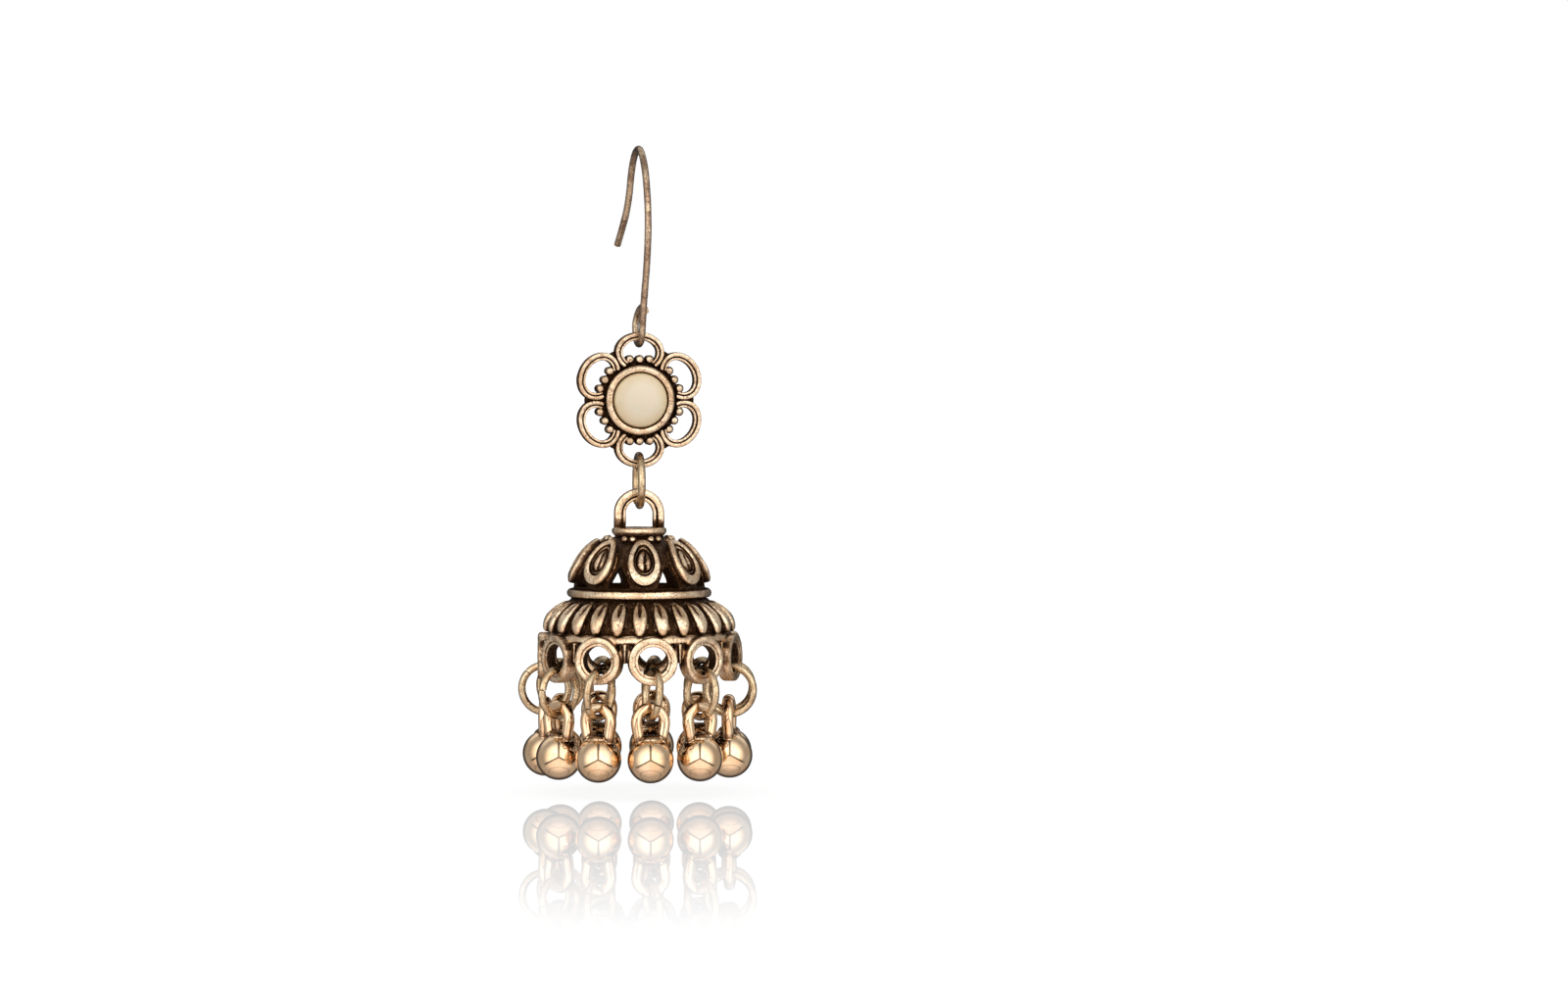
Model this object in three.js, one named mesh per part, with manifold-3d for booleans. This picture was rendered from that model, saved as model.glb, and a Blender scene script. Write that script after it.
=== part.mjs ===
// A bell-shaped drop earring in antiqued gold: an ear wire, an openwork flower with a cream cabochon,
// a plain link, and a pierced bell with eleven rings and eleven ball drops round its rim.
// Millimetres, +Z up. The origin is the underside of the ear wire's crest, where it sits in the ear.
// The flower faces -Y, and every piece hangs plumb.
import * as THREE from "three";
import { mergeVertices } from "three/addons/utils/BufferGeometryUtils.js";
import Module from "manifold-3d";

const wasm = await Module();
wasm.setup();

// Play left between a wire and the wire that it hangs on
const HANG_GAP = 0.15;
const WIRE_SIDES = 6;

// Ear wire
const WIRE = 0.7;
const EAR_LOOP_RADIUS = 1.9;
// The bend of the wire from its cut back end over the crest to the loop: x is aside, y is back, z is up
const WIRE_BEND = [
  { x: -0.62, y: 8.4, z: -9.35 },
  { x: -0.34, y: 7.1, z: -7.55 },
  { x: -0.12, y: 6, z: -5.9 },
  { x: 0, y: 5.1, z: -4.1 },
  { x: 0, y: 4.1, z: -2.2 },
  { x: 0, y: 2.9, z: -0.75 },
  { x: 0, y: 1.3, z: 0.2 },
  { x: 0, y: -0.4, z: 0.34 },
  { x: 0, y: -1.9, z: -0.35 },
  { x: 0, y: -3.3, z: -1.8 },
  { x: 0, y: -4.3, z: -3.8 },
  { x: 0, y: -4.9, z: -6.3 },
  { x: 0, y: -4.8, z: -9 },
  { x: 0, y: -4.1, z: -11.7 },
  { x: 0, y: -3.1, z: -14.1 },
  { x: 0, y: -2.45, z: -15.8 },
];
const WIRE_STEPS = 44;
// Where the loop at the foot starts and stops, in degrees from its lowest point, forwards first
const EAR_LOOP_FROM = -88;
const EAR_LOOP_TO = 184;
const EAR_LOOP_STEP = 22.5;
// The cut end of the loop lies beside and behind the stem
const EAR_END = { x: 0.42, y: -1.45, z: -16.15 };

// Flower
const FLOWER_Z = -25.2;
const PETALS = 6;
const PETAL_TIP = 6.93;
const PETAL_CENTRE = 4.85;
const PETAL_HALF_WIDE = 2.19;
const BAND_FACE = 0.73;
const BAND_DEPTH = 1.5;
// Degrees of the petal's oval left open towards the middle of the flower
const PETAL_OPEN = 84;
const PETAL_STEPS = 11;
const BEADS = 3;
const BEAD_RADIUS = 0.42;
const BEAD_DEPTH = 1.44;
const BEAD_PITCH = 1.03;
const BEAD_REACH = 4.15;
const BEZEL_OUTER = 3.58;
const BEZEL_INNER = 2.84;
const BEZEL_FRONT = -1.05;
const BEZEL_ROUNDING = 0.25;
const BEZEL_SIDES = 20;
const PLATE_RADIUS = 4.1;
const PLATE_FRONT = -0.2;
const SEAT_FRONT = -0.1;
const STONE_RADIUS = 2.72;
const STONE_GIRDLE = -0.85;
const STONE_FRONT = -1.5;
const STONE_BACK = -0.22;
const STONE_SIDES = 20;
// The dome between the stone's girdle and its crown: share of the radius, share of the rise
const STONE_DOME = [
  { out: 0.45, up: 0.92 },
  { out: 0.82, up: 0.6 },
];

// Link between the flower and the bell. It stands on edge, turned a little about the vertical, in degrees
const LINK_TURN = -5;
const LINK_RADIUS = 2.55;
const LINK_WIRE = 0.8;
const LINK_STEPS = 16;

// Bell, one casting. Its outlines go round the wall: r from the axis, z from the top of the bail
const BAIL_RADIUS = 2;
const BAIL_WIRE = 1.2;
const BAIL_STEPS = 14;
const BAIL_BENDS = 8;
const BAIL_SUNK = 0.2;
const CROWN_SIDES = 24;
const CROWN = [
  { r: 0, z: -5.7 },
  { r: 3.6, z: -6.7 },
  { r: 5.35, z: -8.5 },
  { r: 6.05, z: -11.4 },
  { r: 6.95, z: -11.4 },
  { r: 7.3, z: -11.1 },
  { r: 7.4, z: -10.65 },
  { r: 7.15, z: -10.2 },
  { r: 6.7, z: -10 },
  { r: 6.3, z: -8.4 },
  { r: 4.75, z: -6.2 },
  { r: 2.45, z: -4.9 },
  { r: 2.8, z: -4.6 },
  { r: 2.8, z: -4 },
  { r: 0, z: -4 },
];

// The rows of that outline where the dome starts at its foot and ends at its neck
const CROWN_FOOT = 8;
const CROWN_NECK = 11;

// Pointed drops: how full they are at the point, and the scale that brings their middle to full width
const DROP_POINT = 0.35;
const DROP_FULL = 1.08;

// Teardrop bosses on the dome, with a hole through the wall between each two
const TEARDROPS = 8;
const TEARDROP_TURN = -6.4;
const TEARDROP_FOOT = 0.3;
const TEARDROP_LONG = 5.15;
const TEARDROP_WIDE = 3.6;
const TEARDROP_RIM = 0.62;
const TEARDROP_HIGH = 0.68;
const TEARDROP_CORE = 0.42;
const TEARDROP_CORE_HIGH = 0.5;
const TEARDROP_MIDDLE = 2.25;
const TEARDROP_SIDES = 11;
const TEARDROP_SUNK = 0.55;
const PIERCE_WIDE = 2.4;
const PIERCE_SHOULDER = 0.8;
const PIERCE_LOW = -9.95;
const PIERCE_HIGH = -7.7;

// Skirt of drop-shaped ribs: rise is how far a rib stands out there, share its width as a part of the pitch
const RIBS = 26;
const RIB_TURN = -10.6;
const SKIRT = [
  { r: 8.2, z: -14.6, rise: 0, share: 0.33 },
  { r: 6.2, z: -11.75, rise: 0, share: 0.33 },
  { r: 6.2, z: -11.3, rise: 0, share: 0.33 },
  { r: 7.05, z: -11.3, rise: 0, share: 0.2 },
  { r: 7.6, z: -11.9, rise: 0.35, share: 0.24 },
  { r: 8.8, z: -13, rise: 0.55, share: 0.44 },
  { r: 9.3, z: -13.9, rise: 0.55, share: 0.56 },
  { r: 9.1, z: -14.6, rise: 0.1, share: 0.4 },
].reverse();

// Rim: a plain band and the eyelets, with a web between each two eyelets
const DROPS = 11;
const DROP_TURN = -3;
const RIM_SIDES = 33;
const RIM_RADIUS = 9.6;
const RIM = [
  { r: 8.25, z: -15.4 },
  { r: 8.25, z: -14.5 },
  { r: 9.15, z: -14.5 },
  { r: 9.55, z: -15.5 },
  { r: 9.1, z: -15.6 },
].reverse();
const WEB = { wide: 1.1, deep: 0.6, top: -15.4, low: -17.3 };
const EYELET_HALF_WIDE = 2.02;
const EYELET_HALF_TALL = 1.95;
const EYELET_FACE = 0.95;
const EYELET_DEPTH = 1.5;
const EYELET_Z = -17.1;
const EYELET_STEPS = 12;

// Ring and ball drop that hang in each eyelet
const RING_RADIUS = 2.41;
const RING_WIRE = 0.78;
const SHANK_RADIUS = 1.35;
const SHANK_WIRE = 1;
const BALL_RADIUS = 2.325;
const BALL_SINK = 0.28;
const RING_STEPS = 12;
const SHANK_STEPS = 10;
const BALL_SIDES = 12;
const BALL_BELTS = 6;
// How each drop hangs: twist turns its ring about the vertical, lean tips it along the rim, in degrees
const DROP_HANG = [
  { twist: 8, lean: 5 },
  { twist: -5, lean: 4 },
  { twist: 10, lean: 2 },
  { twist: -8, lean: -2 },
  { twist: 6, lean: -4 },
  { twist: -10, lean: -3 },
  { twist: 4, lean: -5 },
  { twist: 9, lean: -3 },
  { twist: -6, lean: 1 },
  { twist: 12, lean: 2 },
  { twist: -7, lean: 3 },
];

// Heights that follow from the pieces above
const EAR_LOOP_Z = FLOWER_Z + PETAL_TIP - BAND_FACE - HANG_GAP + EAR_LOOP_RADIUS - WIRE / 2;
const LINK_Z = FLOWER_Z - PETAL_TIP + BAND_FACE + HANG_GAP - LINK_RADIUS + LINK_WIRE / 2;
const BELL_Z = LINK_Z - LINK_RADIUS + LINK_WIRE / 2 + HANG_GAP + BAIL_WIRE;

const radians = THREE.MathUtils.degToRad;

// Joining and cutting

function solidFrom(geometry) {
  const bare = geometry.clone();
  bare.deleteAttribute("normal");
  bare.deleteAttribute("uv");
  const merged = mergeVertices(bare, 1e-4);
  return new wasm.Manifold(
    new wasm.Mesh({
      numProp: 3,
      vertProperties: merged.attributes.position.array,
      triVerts: new Uint32Array(merged.index.array),
    }),
  );
}

function geometryFrom(solid) {
  const mesh = solid.getMesh();
  const geometry = new THREE.BufferGeometry();
  geometry.setAttribute("position", new THREE.BufferAttribute(mesh.vertProperties, 3));
  geometry.setIndex(new THREE.BufferAttribute(mesh.triVerts, 1));
  geometry.computeVertexNormals();
  return geometry;
}

function joined(geometries) {
  return geometries.map(solidFrom).reduce((whole, piece) => whole.add(piece));
}

// Shapes shared by several pieces

// A flat outline of points on an ellipse, the first at its top
function ovalShape(halfWide, halfTall, sides) {
  const points = [];
  for (let i = 0; i < sides; i++) {
    const turn = Math.PI / 2 + (2 * Math.PI * i) / sides;
    points.push(new THREE.Vector2(halfWide * Math.cos(turn), halfTall * Math.sin(turn)));
  }
  return new THREE.Shape(points);
}

// A round wire along a smooth path through points
function wireAlong(points, thick, steps) {
  const extrudePath = new THREE.CatmullRomCurve3(points, false, "centripetal");
  return new THREE.ExtrudeGeometry(ovalShape(thick / 2, thick / 2, WIRE_SIDES), { steps, extrudePath });
}

// A closed ring of oval section: face is its width as seen from the front, depth its width along the axis
function ovalRing(halfWide, halfTall, face, depth, steps) {
  const ring = new THREE.TorusGeometry(halfWide, face / 2, WIRE_SIDES, steps);
  const flatTop = Math.sin(Math.PI / 3);
  ring.scale(1, (halfTall + face / 2) / (halfWide + face / 2), depth / face / flatTop);
  return ring;
}

// A pointed drop, its blunt end down, from 0 to long. Its half width swells from the point to the blunt end
function dropOutline(long, wide, sides) {
  const points = [];
  for (let i = 0; i < sides; i++) {
    const turn = (2 * Math.PI * i) / sides;
    const down = (1 - Math.cos(turn)) / 2;
    const swell = Math.sin(turn) * Math.sqrt(DROP_POINT + (1 - DROP_POINT) * down);
    points.push(new THREE.Vector2((wide / 2) * swell * DROP_FULL, long * (1 - down)));
  }
  return points;
}

// Lays a flat geometry whose y runs up a curved wall, x along the rim and z out, on to that wall
function layOnWall(geometry, wall, turn) {
  const length = wall.getLength();
  const place = geometry.attributes.position;
  for (let i = 0; i < place.count; i++) {
    const along = THREE.MathUtils.clamp(1 - place.getY(i) / length, 0, 1);
    const on = wall.getPointAt(along);
    const way = wall.getTangentAt(along);
    const r = on.x - way.y * place.getZ(i);
    const z = on.y + way.x * place.getZ(i);
    place.setXYZ(i, place.getX(i), -r, z);
  }
  return geometry.rotateZ(radians(turn));
}

// Pieces

function makeEarWire() {
  const points = WIRE_BEND.map((row) => new THREE.Vector3(row.x, row.y, row.z));
  for (let turn = EAR_LOOP_FROM; turn <= EAR_LOOP_TO; turn += EAR_LOOP_STEP) {
    const y = EAR_LOOP_RADIUS * Math.sin(radians(turn));
    const z = EAR_LOOP_Z - EAR_LOOP_RADIUS * Math.cos(radians(turn));
    const aside = EAR_END.x * Math.max(0, (turn - 90) / (EAR_LOOP_TO - 90));
    points.push(new THREE.Vector3(aside, y, z));
  }
  points.push(new THREE.Vector3(EAR_END.x, EAR_END.y, EAR_END.z));
  return wireAlong(points, WIRE, WIRE_STEPS);
}

function petal() {
  const halfTall = PETAL_TIP - BAND_FACE / 2 - PETAL_CENTRE;
  const points = [];
  const sweep = 360 - PETAL_OPEN;
  const steps = PETAL_STEPS;
  for (let i = 0; i <= steps; i++) {
    const turn = radians(90 - sweep / 2 + (sweep * i) / steps);
    const x = PETAL_HALF_WIDE * Math.cos(turn);
    points.push(new THREE.Vector3(x, PETAL_CENTRE + halfTall * Math.sin(turn), 0));
  }
  const half = new THREE.Vector2(BAND_DEPTH / 2, BAND_FACE / 2);
  const edge = half.x - half.y;
  const section = new THREE.Shape([
    new THREE.Vector2(half.x, 0),
    new THREE.Vector2(edge, half.y),
    new THREE.Vector2(-edge, half.y),
    new THREE.Vector2(-half.x, 0),
    new THREE.Vector2(-edge, -half.y),
    new THREE.Vector2(edge, -half.y),
  ]);
  return new THREE.ExtrudeGeometry(section, {
    steps,
    extrudePath: new THREE.CatmullRomCurve3(points),
  });
}

function petalBead(offset) {
  const bead = new THREE.CylinderGeometry(BEAD_RADIUS, BEAD_RADIUS, BEAD_DEPTH, WIRE_SIDES);
  return bead.rotateX(Math.PI / 2).translate(offset, BEAD_REACH, 0);
}

// The cup is turned about the front-to-back axis
function bezelCup() {
  const back = BAND_DEPTH / 2;
  const outline = [
    [0, SEAT_FRONT],
    [BEZEL_INNER, SEAT_FRONT],
    [BEZEL_INNER, BEZEL_FRONT + BEZEL_ROUNDING],
    [(BEZEL_OUTER + BEZEL_INNER) / 2, BEZEL_FRONT],
    [BEZEL_OUTER, BEZEL_FRONT + BEZEL_ROUNDING],
    [BEZEL_OUTER, PLATE_FRONT],
    [PLATE_RADIUS, PLATE_FRONT],
    [PLATE_RADIUS, back],
    [0, back],
  ];
  const points = outline.map(([r, y]) => new THREE.Vector2(r, y));
  return new THREE.LatheGeometry(points, BEZEL_SIDES);
}

function makeFlower() {
  const pieces = [];
  for (let i = 0; i < PETALS; i++) {
    const turn = radians((360 * i) / PETALS);
    const parts = [petal()];
    for (let b = 0; b < BEADS; b++) parts.push(petalBead((b - (BEADS - 1) / 2) * BEAD_PITCH));
    parts.forEach((part) => pieces.push(part.rotateZ(turn).rotateX(Math.PI / 2)));
  }
  return geometryFrom(joined([bezelCup(), ...pieces])).translate(0, 0, FLOWER_Z);
}

function makeStone() {
  const rise = STONE_FRONT - STONE_GIRDLE;
  const outline = [
    [0, STONE_FRONT],
    ...STONE_DOME.map(({ out, up }) => [STONE_RADIUS * out, STONE_GIRDLE + rise * up]),
    [STONE_RADIUS, STONE_GIRDLE],
    [STONE_RADIUS, STONE_BACK],
    [0, STONE_BACK],
  ];
  const points = outline.map(([r, y]) => new THREE.Vector2(r, y));
  return new THREE.LatheGeometry(points, STONE_SIDES).translate(0, 0, FLOWER_Z);
}

// A round link standing on edge
function makeLink() {
  const link = new THREE.TorusGeometry(LINK_RADIUS, LINK_WIRE / 2, WIRE_SIDES, LINK_STEPS);
  return link.rotateY(Math.PI / 2).rotateZ(radians(LINK_TURN)).translate(0, 0, LINK_Z);
}

// A round arch whose straight legs stand in the disc on top of the crown
function bail() {
  const springing = -BAIL_WIRE / 2 - BAIL_RADIUS;
  const foot = CROWN[CROWN.length - 1].z - BAIL_SUNK;
  const heights = [foot, springing - BAIL_WIRE / 2];
  const leg = (side) => heights.map((z) => new THREE.Vector3(side * BAIL_RADIUS, 0, z));
  const points = leg(-1);
  for (let i = 0; i <= BAIL_BENDS; i++) {
    const turn = Math.PI * (1 - i / BAIL_BENDS);
    const z = springing + BAIL_RADIUS * Math.sin(turn);
    points.push(new THREE.Vector3(BAIL_RADIUS * Math.cos(turn), 0, z));
  }
  points.push(...leg(1).reverse());
  return wireAlong(points, BAIL_WIRE, BAIL_STEPS);
}

// A ring turned about the bell's axis from an outline that closes on itself or runs from axis to axis
function turned(outline, sides) {
  const points = outline.map((row) => new THREE.Vector2(row.r, row.z));
  if (outline[0].r > 0) points.push(points[0].clone());
  return new THREE.LatheGeometry(points, sides).rotateX(Math.PI / 2);
}

function teardrop(turn) {
  const rows = CROWN.slice(CROWN_FOOT, CROWN_NECK + 1).reverse();
  const wall = new THREE.SplineCurve(rows.map((row) => new THREE.Vector2(row.r, row.z)));
  const outline = dropOutline(TEARDROP_LONG, TEARDROP_WIDE, TEARDROP_SIDES);
  const middle = new THREE.Vector2(0, TEARDROP_MIDDLE);
  const inset = 1 - (2 * TEARDROP_RIM) / TEARDROP_WIDE;
  const shrink = (share) => outline.map((p) => p.clone().sub(middle).multiplyScalar(share).add(middle));
  const rim = new THREE.Shape(outline);
  rim.holes.push(new THREE.Path(shrink(inset).reverse()));
  const core = new THREE.Shape(shrink(TEARDROP_CORE));
  return [
    [rim, TEARDROP_HIGH],
    [core, TEARDROP_CORE_HIGH],
  ].map(([shape, high]) => {
    const depth = high + TEARDROP_SUNK;
    const flat = new THREE.ExtrudeGeometry(shape, { depth, bevelEnabled: false });
    return layOnWall(flat.translate(0, TEARDROP_FOOT, -TEARDROP_SUNK), wall, turn);
  });
}

function pierce(turn) {
  const shape = new THREE.Shape([
    new THREE.Vector2(-PIERCE_WIDE / 2, PIERCE_LOW),
    new THREE.Vector2(PIERCE_WIDE / 2, PIERCE_LOW),
    new THREE.Vector2(PIERCE_SHOULDER, (PIERCE_LOW + PIERCE_HIGH) / 2),
    new THREE.Vector2(0, PIERCE_HIGH),
    new THREE.Vector2(-PIERCE_SHOULDER, (PIERCE_LOW + PIERCE_HIGH) / 2),
  ]);
  const cut = new THREE.ExtrudeGeometry(shape, { depth: RIM_RADIUS, bevelEnabled: false });
  return cut.rotateX(Math.PI / 2).rotateZ(radians(turn));
}

// Three columns of points to a rib: the valley, then the two edges of its crest
function skirt() {
  const ring = turned(SKIRT, RIBS * 3);
  const pitch = (2 * Math.PI) / RIBS;
  const place = ring.attributes.position;
  const rows = SKIRT.length + 1;
  for (let i = 0; i < place.count; i++) {
    const column = Math.floor(i / rows);
    const { r, z, rise, share } = SKIRT[(i % rows) % SKIRT.length];
    const crest = column % 3 !== 0;
    const middle = (Math.floor(column / 3) + 0.5) * pitch;
    const side = column % 3 === 1 ? -1 : 1;
    const angle = crest ? middle + (side * share * pitch) / 2 : (column / 3) * pitch;
    const out = r + (crest ? rise : 0);
    place.setXYZ(i, out * Math.sin(angle), -out * Math.cos(angle), z);
  }
  return ring.rotateZ(radians(RIB_TURN) - pitch / 2);
}

function eyelet(turn) {
  const ring = ovalRing(EYELET_HALF_WIDE, EYELET_HALF_TALL, EYELET_FACE, EYELET_DEPTH, EYELET_STEPS);
  return ring.rotateX(Math.PI / 2).translate(0, -RIM_RADIUS, EYELET_Z).rotateZ(radians(turn));
}

function web(turn) {
  const wall = new THREE.BoxGeometry(WEB.wide, WEB.deep, WEB.top - WEB.low);
  return wall.translate(0, -RIM_RADIUS, (WEB.top + WEB.low) / 2).rotateZ(radians(turn));
}

function turns(count, first) {
  return Array.from({ length: count }, (_, i) => first + (360 * i) / count);
}

function makeBell() {
  const crown = solidFrom(turned(CROWN, CROWN_SIDES).rotateZ(radians(TEARDROP_TURN + 180 / CROWN_SIDES)));
  const pierced = joined(turns(TEARDROPS, TEARDROP_TURN + 180 / TEARDROPS).map(pierce));
  const bosses = joined(turns(TEARDROPS, TEARDROP_TURN).flatMap(teardrop));
  const rim = turned(RIM, RIM_SIDES).rotateZ(radians(DROP_TURN));
  const webs = turns(DROPS, DROP_TURN + 180 / DROPS).map(web);
  const foot = joined([skirt(), rim, ...turns(DROPS, DROP_TURN).map(eyelet), ...webs]);
  const top = crown.subtract(pierced).add(bosses).add(solidFrom(bail()));
  return geometryFrom(top.add(foot)).translate(0, 0, BELL_Z);
}

// The ring and the ball drop of one eyelet share a frame: x along the rim, y out, z up
function makeRing() {
  return new THREE.TorusGeometry(RING_RADIUS, RING_WIRE / 2, WIRE_SIDES, RING_STEPS).rotateY(Math.PI / 2);
}

function makeBallDrop() {
  const shank = new THREE.TorusGeometry(SHANK_RADIUS, SHANK_WIRE / 2, WIRE_SIDES, SHANK_STEPS);
  const reach = SHANK_RADIUS + SHANK_WIRE / 2 + BALL_RADIUS - BALL_SINK;
  const ball = new THREE.SphereGeometry(BALL_RADIUS, BALL_SIDES, BALL_BELTS);
  ball.rotateX(Math.PI / 2).translate(0, 0, -reach);
  return geometryFrom(joined([shank.rotateX(Math.PI / 2), ball]));
}

// Assembly

function material(colour, roughness, metalness) {
  return new THREE.MeshStandardMaterial({ color: colour, roughness, metalness });
}

const antiqueGold = () => material(0xb08a5a, 0.38, 1);
const tarnishedWire = () => material(0x9c7350, 0.45, 1);
const creamStone = () => material(0xe9dcc0, 0.45, 0);

function named(name, geometry, finish) {
  const mesh = new THREE.Mesh(geometry, finish);
  mesh.name = name;
  return mesh;
}

// One eyelet's ring and ball drop: the ring leans about its own middle, and the ball hangs from its foot
function makeDrop(index, turn, hang) {
  const number = String(index + 1).padStart(2, "0");
  const strandTop = EYELET_Z - EYELET_HALF_TALL + EYELET_FACE / 2;
  const ringZ = BELL_Z + strandTop + HANG_GAP - RING_RADIUS + RING_WIRE / 2;
  const lean = radians(hang.lean);
  const ring = named("drop_ring_" + number, makeRing(), antiqueGold());
  ring.rotation.set(0, lean, 0);
  const ball = named("ball_drop_" + number, makeBallDrop(), antiqueGold());
  const grip = SHANK_RADIUS - SHANK_WIRE / 2 - HANG_GAP - RING_WIRE / 2;
  ball.position.set(-RING_RADIUS * Math.sin(lean), 0, -RING_RADIUS * Math.cos(lean) - grip);
  const drop = new THREE.Group();
  drop.add(ring, ball);
  drop.rotation.z = radians(hang.twist);
  drop.position.set(0, -RIM_RADIUS, ringZ);
  const arm = new THREE.Group();
  arm.add(drop);
  arm.rotation.z = radians(turn);
  return arm;
}

const earring = new THREE.Group();
earring.add(
  named("ear_wire", makeEarWire(), tarnishedWire()),
  named("flower_connector", makeFlower(), antiqueGold()),
  named("flower_stone", makeStone(), creamStone()),
  named("link_ring", makeLink(), antiqueGold()),
  named("bell", makeBell(), antiqueGold()),
);
turns(DROPS, DROP_TURN).forEach((turn, i) => earring.add(makeDrop(i, turn, DROP_HANG[i])));

export default earring;
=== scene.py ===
import math

import bmesh
import bpy
from mathutils import Matrix, Vector


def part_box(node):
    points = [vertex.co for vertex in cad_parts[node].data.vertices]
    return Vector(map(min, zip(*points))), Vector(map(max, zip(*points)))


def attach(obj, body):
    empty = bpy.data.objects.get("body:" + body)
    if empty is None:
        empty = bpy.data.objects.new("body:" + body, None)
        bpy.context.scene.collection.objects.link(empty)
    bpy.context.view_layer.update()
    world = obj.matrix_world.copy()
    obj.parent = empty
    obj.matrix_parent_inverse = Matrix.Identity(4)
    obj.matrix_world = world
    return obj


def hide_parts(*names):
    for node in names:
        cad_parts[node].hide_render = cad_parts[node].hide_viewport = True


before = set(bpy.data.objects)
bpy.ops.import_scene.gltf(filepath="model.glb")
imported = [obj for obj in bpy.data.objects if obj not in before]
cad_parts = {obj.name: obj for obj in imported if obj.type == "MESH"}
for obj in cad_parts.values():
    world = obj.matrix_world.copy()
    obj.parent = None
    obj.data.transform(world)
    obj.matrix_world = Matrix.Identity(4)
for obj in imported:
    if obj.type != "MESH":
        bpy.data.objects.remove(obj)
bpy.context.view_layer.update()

MM = 0.001
HANG_GAP = 0.15
WIRE_SIDES = 16
SHARP_ANGLE = 42

# Ear wire
WIRE = 0.7
EAR_LOOP_RADIUS = 1.9
WIRE_BEND = [
    {"x": -0.62, "y": 8.4, "z": -9.35},
    {"x": -0.34, "y": 7.1, "z": -7.55},
    {"x": -0.12, "y": 6, "z": -5.9},
    {"x": 0, "y": 5.1, "z": -4.1},
    {"x": 0, "y": 4.1, "z": -2.2},
    {"x": 0, "y": 2.9, "z": -0.75},
    {"x": 0, "y": 1.3, "z": 0.2},
    {"x": 0, "y": -0.4, "z": 0.34},
    {"x": 0, "y": -1.9, "z": -0.35},
    {"x": 0, "y": -3.3, "z": -1.8},
    {"x": 0, "y": -4.3, "z": -3.8},
    {"x": 0, "y": -4.9, "z": -6.3},
    {"x": 0, "y": -4.8, "z": -9},
    {"x": 0, "y": -4.1, "z": -11.7},
    {"x": 0, "y": -3.1, "z": -14.1},
    {"x": 0, "y": -2.45, "z": -15.8},
]
EAR_LOOP_FROM = -88
EAR_LOOP_TO = 184
EAR_LOOP_STEP = 22.5
EAR_END = {"x": 0.42, "y": -1.45, "z": -16.15}

# Flower
PETALS = 6
PETAL_TIP = 6.93
PETAL_CENTRE = 4.85
PETAL_HALF_WIDE = 2.19
BAND_FACE = 0.73
BAND_DEPTH = 1.5
PETAL_OPEN = 84
BEADS = 3
BEAD_RADIUS = 0.46
BEAD_DEPTH = 1.5
BEAD_PITCH = 1.03
BEAD_REACH = 4.15
# Dark grime that fills the notches between the petals
NOTCH_START = 3.9
NOTCH_REACH = 5.6
NOTCH_WIDE = 0.6
NOTCH_DEEP = 0.9
NOTCH_ROUNDING = 0.29
# The bezel cup on its plate, and the stone in it
BEZEL_OUTER = 3.58
BEZEL_INNER = 2.84
BEZEL_FRONT = -1.05
PLATE_RADIUS = 4.1
PLATE_FRONT = -0.2
SEAT_FRONT = -0.1
STONE_RADIUS = 2.78
STONE_GIRDLE = -0.85
STONE_FRONT = -1.5
STONE_BACK = -0.22

# Link and bell
BELL_SIDES = 160
LINK_TURN = -5
LINK_RADIUS = 2.55
LINK_WIRE = 0.8
BAIL_RADIUS = 2
BAIL_WIRE = 1.2
DISC = {"r": 2.8, "top": -4, "low": -4.62}
CROWN_WALL = [(6.7, -10), (6.3, -8.4), (4.75, -6.2), (2.45, -4.9)]
CROWN_HOLLOW = [(0, -5.7), (3.6, -6.7), (5.35, -8.5), (6.05, -11.5)]
BELT = {"r": 6.98, "z": -10.65, "half_wide": 0.42, "half_tall": 0.45}
TEARDROPS = 8
TEARDROP_TURN = -6.4
TEARDROP_FOOT = 0.3
TEARDROP_LONG = 5.15
TEARDROP_WIDE = 3.6
TEARDROP_MIDDLE = 2.25
TEARDROP_SUNK = 0.55
PIERCE_WIDE = 2.4
PIERCE_SHOULDER = 0.8
PIERCE_LOW = -9.95
PIERCE_HIGH = -7.7
RIBS = 26
RIB_TURN = -10.6
RIB_LONG = 4.05
RIB_WIDE = 1.62
RIB_MIDDLE = 0.3
RIB_FOOT = 0.1
RIB_SUNK = 0.35
SKIRT_WALL = [(6.95, -11.2), (7.55, -11.8), (8.75, -12.95), (9.25, -13.9), (9.12, -14.6)]
SKIRT_HOLLOW = [(8.2, -14.6), (6.2, -11.75), (6.2, -11.2)]
DROPS = 11
DROP_TURN = -3
RIM_RADIUS = 9.6
WEB = {"wide": 1.1, "deep": 0.6, "top": -15.4, "low": -17.3}
EYELET_HALF_WIDE = 2.02
EYELET_HALF_TALL = 1.95
EYELET_FACE = 0.95
EYELET_DEPTH = 1.5
EYELET_Z = -17.1

# Rings and ball drops
RING_RADIUS = 2.41
RING_WIRE = 0.78
SHANK_RADIUS = 1.35
SHANK_WIRE = 1
BALL_RADIUS = 2.325
BALL_SINK = 0.28
DROP_HANG = [
    {"twist": 8, "lean": 5},
    {"twist": -5, "lean": 4},
    {"twist": 10, "lean": 2},
    {"twist": -8, "lean": -2},
    {"twist": 6, "lean": -4},
    {"twist": -10, "lean": -3},
    {"twist": 4, "lean": -5},
    {"twist": 9, "lean": -3},
    {"twist": -6, "lean": 1},
    {"twist": 12, "lean": 2},
    {"twist": -7, "lean": 3},
]

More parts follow.
